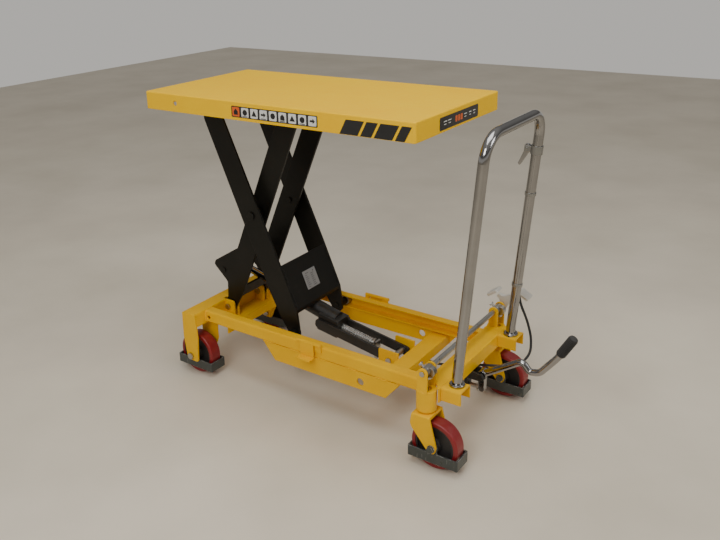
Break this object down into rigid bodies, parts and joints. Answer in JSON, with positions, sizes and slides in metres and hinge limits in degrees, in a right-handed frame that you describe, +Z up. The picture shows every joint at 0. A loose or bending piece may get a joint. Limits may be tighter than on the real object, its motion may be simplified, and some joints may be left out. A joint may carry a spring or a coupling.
{
  "type": "scissor lift table",
  "caption": "Hand-pushed scissor lift table: a platform raised on crossed arms by a foot pump, on a wheeled base with a bent-tube push handle and braked casters.",
  "frame": {"origin": "centre of the bounding box in X and Y, on the floor", "axes": "+X towards the push handle, +Y across towards the brake pedal, +Z up"},
  "size_m": [1.3956, 0.586, 1.018],
  "materials": {
    "arm_paint": "satin black paint",
    "cable_sheath": "black sheath",
    "clip_steel": "plated steel",
    "frame_paint": "gloss yellow enamel",
    "grip_rubber": "black rubber",
    "guard_steel": "dull plated steel",
    "handle_chrome": "polished chrome plate",
    "pedal_cast": "light cast metal",
    "pin_steel": "zinc-plated steel",
    "plate_metal": "blank satin plate",
    "platform_paint": "gloss yellow enamel",
    "pump_paint": "satin black paint",
    "roller_steel": "turned steel",
    "wheel_core": "black painted iron",
    "wheel_tyre": "dark red moulded tyre"
  },
  "bodies": {
    "base": {"front_cross_member": "frame_paint", "front_legs": "frame_paint", "pivot_channel": "frame_paint", "arm_pivot_brackets": "frame_paint", "side_rail_near": "frame_paint", "side_rail_far": "frame_paint", "rail_gussets": "frame_paint", "rear_cross_member": "frame_paint", "rear_end_beam": "frame_paint", "caster_housings": "frame_paint", "push_handle": "handle_chrome", "handle_collars": "handle_chrome", "front_guards": "guard_steel", "pedal_bracket": "pump_paint", "stop_knuckles": "frame_paint", "frame_bolts": "pin_steel", "release_cable": "cable_sheath", "cable_holders": "clip_steel"},
    "inner_arm_pair": {"inner_arms": "arm_paint", "inner_cross_bar": "arm_paint", "inner_arm_shafts": "arm_paint"},
    "outer_arm_pair": {"outer_arms": "arm_paint", "outer_cross_plate": "arm_paint", "data_plate": "plate_metal", "lower_roller_axles": "arm_paint"},
    "platform": {"platform_top": "platform_paint", "platform_channels": "arm_paint", "platform_brackets": "arm_paint"},
    "brake": {"brake_shaft": "pin_steel", "brake_pedal": "pedal_cast"},
    "pump": {"pump_body": "pump_paint", "pump_side_bars": "pump_paint", "plunger_spring": "pin_steel"},
    "lift_ram": {"ram": "handle_chrome"},
    "plunger": {"pump_plunger": "pin_steel"},
    "pedal_rod": {"push_rod": "pin_steel"},
    "pedal": {"foot_pedal": "handle_chrome", "foot_grip": "grip_rubber"},
    "lever": {"release_lever": "handle_chrome"},
    "lower_roller_near_body": {"lower_roller_near": "roller_steel"},
    "upper_roller_near_body": {"upper_roller_near": "roller_steel"},
    "front_wheel_near": {"front_tyre_near": "wheel_tyre", "front_hub_near": "wheel_core"},
    "caster_near": {"caster_fork_near": "frame_paint", "caster_guard_near": "guard_steel"},
    "caster_wheel_near": {"caster_tyre_near": "wheel_tyre", "caster_hub_near": "wheel_core"},
    "brake_rod_near_body": {"brake_rod_near": "pin_steel"},
    "travel_stop_near_body": {"travel_stop_near": "frame_paint"},
    "lower_roller_far_body": {"lower_roller_far": "roller_steel"},
    "upper_roller_far_body": {"upper_roller_far": "roller_steel"},
    "front_wheel_far": {"front_tyre_far": "wheel_tyre", "front_hub_far": "wheel_core"},
    "caster_far": {"caster_fork_far": "frame_paint", "caster_guard_far": "guard_steel"},
    "caster_wheel_far": {"caster_tyre_far": "wheel_tyre", "caster_hub_far": "wheel_core"},
    "brake_rod_far_body": {"brake_rod_far": "pin_steel"},
    "travel_stop_far_body": {"travel_stop_far": "frame_paint"}
  },
  "joints": [
    {"name": "lift", "type": "hinge", "parent": "base", "child": "inner_arm_pair", "pos_m": [-0.54485, -0.008, 0.217], "axis": [0, 1, 0], "range_deg": [0, 54.37]},
    {"name": "scissor_pin", "type": "hinge", "parent": "inner_arm_pair", "child": "outer_arm_pair", "pos_m": [-0.38085, -0.008, 0.602], "axis": [0, 1, 0], "range_deg": [-108.75, 0]},
    {"name": "platform_pivot", "type": "hinge", "parent": "outer_arm_pair", "child": "platform", "pos_m": [-0.54485, -0.008, 0.987], "axis": [0, 1, 0], "range_deg": [0, 54.38]},
    {"name": "brake_turn", "type": "hinge", "parent": "base", "child": "brake", "pos_m": [0.34915, -0.008, 0.3], "axis": [0, 1, 0], "range_deg": [0, 20]},
    {"name": "pump_pivot", "type": "hinge", "parent": "base", "child": "pump", "pos_m": [0.11015, -0.008, 0.172], "axis": [0, 1, 0], "range_deg": [0, 0.346]},
    {"name": "ram_slide", "type": "slide", "parent": "pump", "child": "lift_ram", "axis": [0.9664, 0, -0.257], "range_m": [0, 0.1259]},
    {"name": "pedal_press", "type": "hinge", "parent": "base", "child": "pedal", "pos_m": [0.41515, -0.008, 0.194], "axis": [0, 1, 0], "range_deg": [0, 25], "stiffness_Nm_per_rad": 12, "springref_deg": -22.92},
    {"name": "rod_slide", "type": "slide", "parent": "base", "child": "pedal_rod", "axis": [-1, 0, 0], "range_m": [0, 0.0205]},
    {"name": "plunger_slide", "type": "slide", "parent": "pump", "child": "plunger", "axis": [-0.9855, 0, 0.1695], "range_m": [0, 0.0208], "deforming": ["plunger_spring"]},
    {"name": "release_squeeze", "type": "hinge", "parent": "base", "child": "lever", "pos_m": [0.44655, 0.179, 0.87051], "axis": [0, -1, 0], "range_deg": [0, 15], "stiffness_Nm_per_rad": 0.5, "springref_deg": -17.19},
    {"name": "lower_roller_spin_near", "type": "hinge", "parent": "outer_arm_pair", "child": "lower_roller_near_body", "pos_m": [-0.21685, -0.19, 0.217], "axis": [0, 1, 0], "continuous": true},
    {"name": "upper_roller_spin_near", "type": "hinge", "parent": "inner_arm_pair", "child": "upper_roller_near_body", "pos_m": [-0.21685, -0.07, 0.987], "axis": [0, 1, 0], "continuous": true},
    {"name": "front_wheel_spin_near", "type": "hinge", "parent": "base", "child": "front_wheel_near", "pos_m": [-0.59085, -0.214, 0.075], "axis": [0, 1, 0], "continuous": true},
    {"name": "caster_swivel_near", "type": "hinge", "parent": "base", "child": "caster_near", "pos_m": [0.34915, -0.244, 0.177], "axis": [0, 0, 1], "continuous": true},
    {"name": "caster_wheel_spin_near", "type": "hinge", "parent": "caster_near", "child": "caster_wheel_near", "pos_m": [0.38715, -0.244, 0.075], "axis": [0, 1, 0], "continuous": true},
    {"name": "brake_rod_slide_near", "type": "slide", "parent": "base", "child": "brake_rod_near_body", "axis": [0, 0, -1], "range_m": [0, 0.00484]},
    {"name": "travel_stop_fold_near", "type": "hinge", "parent": "base", "child": "travel_stop_near_body", "pos_m": [-0.09735, -0.214, 0.246], "axis": [-1, 0, 0], "range_deg": [0, 270]},
    {"name": "lower_roller_spin_far", "type": "hinge", "parent": "outer_arm_pair", "child": "lower_roller_far_body", "pos_m": [-0.21685, 0.174, 0.217], "axis": [0, 1, 0], "continuous": true},
    {"name": "upper_roller_spin_far", "type": "hinge", "parent": "inner_arm_pair", "child": "upper_roller_far_body", "pos_m": [-0.21685, 0.054, 0.987], "axis": [0, 1, 0], "continuous": true},
    {"name": "front_wheel_spin_far", "type": "hinge", "parent": "base", "child": "front_wheel_far", "pos_m": [-0.59085, 0.198, 0.075], "axis": [0, 1, 0], "continuous": true},
    {"name": "caster_swivel_far", "type": "hinge", "parent": "base", "child": "caster_far", "pos_m": [0.34915, 0.228, 0.177], "axis": [0, 0, 1], "continuous": true},
    {"name": "caster_wheel_spin_far", "type": "hinge", "parent": "caster_far", "child": "caster_wheel_far", "pos_m": [0.38715, 0.228, 0.075], "axis": [0, 1, 0], "continuous": true},
    {"name": "brake_rod_slide_far", "type": "slide", "parent": "base", "child": "brake_rod_far_body", "axis": [0, 0, -1], "range_m": [0, 0.00484]},
    {"name": "travel_stop_fold_far", "type": "hinge", "parent": "base", "child": "travel_stop_far_body", "pos_m": [-0.09735, 0.198, 0.246], "axis": [1, 0, 0], "range_deg": [0, 270]}
  ],
  "couplings": [
    {"joint": "scissor_pin", "follows": "lift", "ratio": -2},
    {"joint": "platform_pivot", "follows": "lift", "ratio": 1},
    {"joint": "pump_pivot", "follows": "lift", "ratio": 0.006},
    {"joint": "ram_slide", "follows": "lift", "m_per_rad": 0.1325},
    {"joint": "rod_slide", "follows": "pedal_press", "m_per_rad": 0.046491},
    {"joint": "plunger_slide", "follows": "pedal_press", "m_per_rad": 0.047174},
    {"joint": "brake_rod_slide_near", "follows": "brake_turn", "m_per_rad": 0.013717},
    {"joint": "brake_rod_slide_far", "follows": "brake_turn", "m_per_rad": 0.013717}
  ]
}
